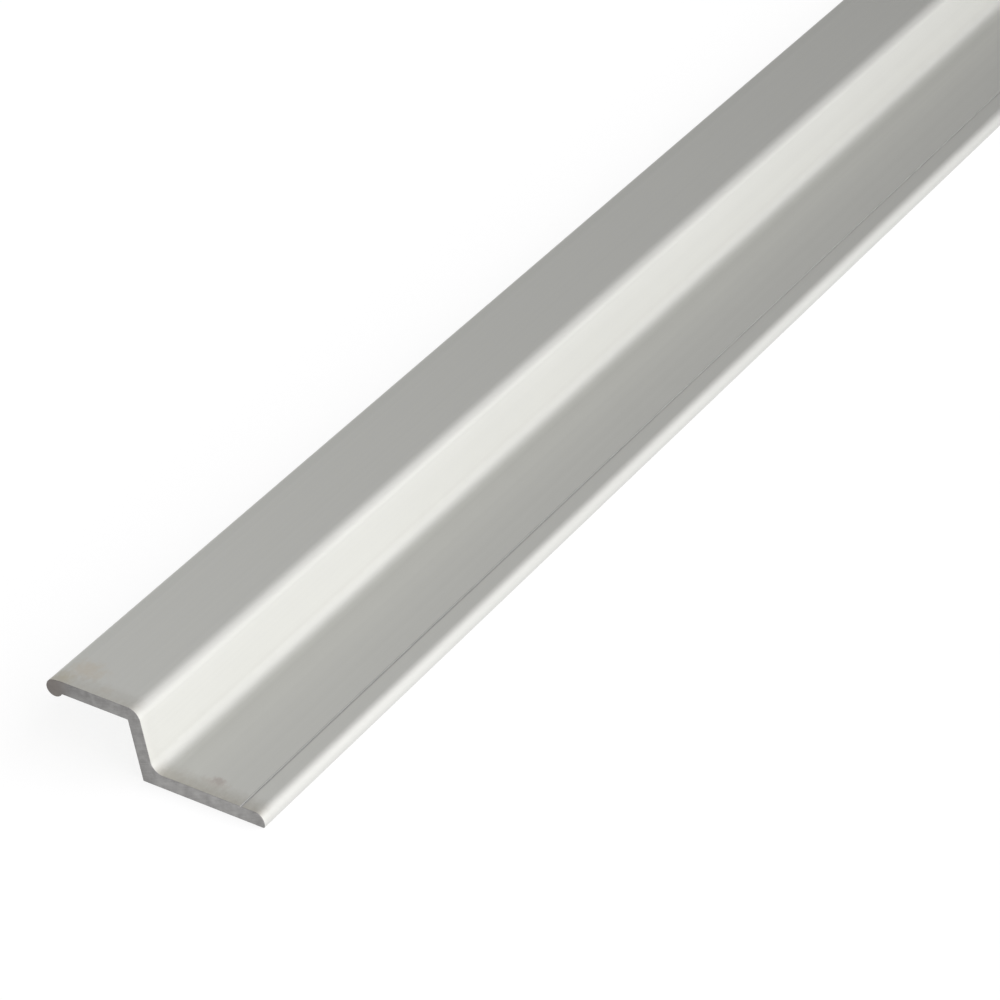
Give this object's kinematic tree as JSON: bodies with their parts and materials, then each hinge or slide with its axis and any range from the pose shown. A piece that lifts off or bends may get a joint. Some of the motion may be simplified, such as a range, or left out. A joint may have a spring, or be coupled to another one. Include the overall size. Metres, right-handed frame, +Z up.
{
  "type": "aluminium extrusion profile",
  "caption": "Length of satin anodised aluminium extrusion with a stepped Z section, a beaded edge on the raised flange and a rounded nose on the low one.",
  "frame": {"origin": "middle of the width and of the length, at the underside of the lower flange", "axes": "+X across the section from the beaded edge to the nose, +Y along the bar, +Z up off the lower flange"},
  "size_m": [0.034, 1, 0.0112],
  "materials": {
    "anodised_aluminium": "satin silver anodised, bare where it is sawn"
  },
  "bodies": {
    "root": {"z_profile": "anodised_aluminium"}
  },
  "joints": []
}
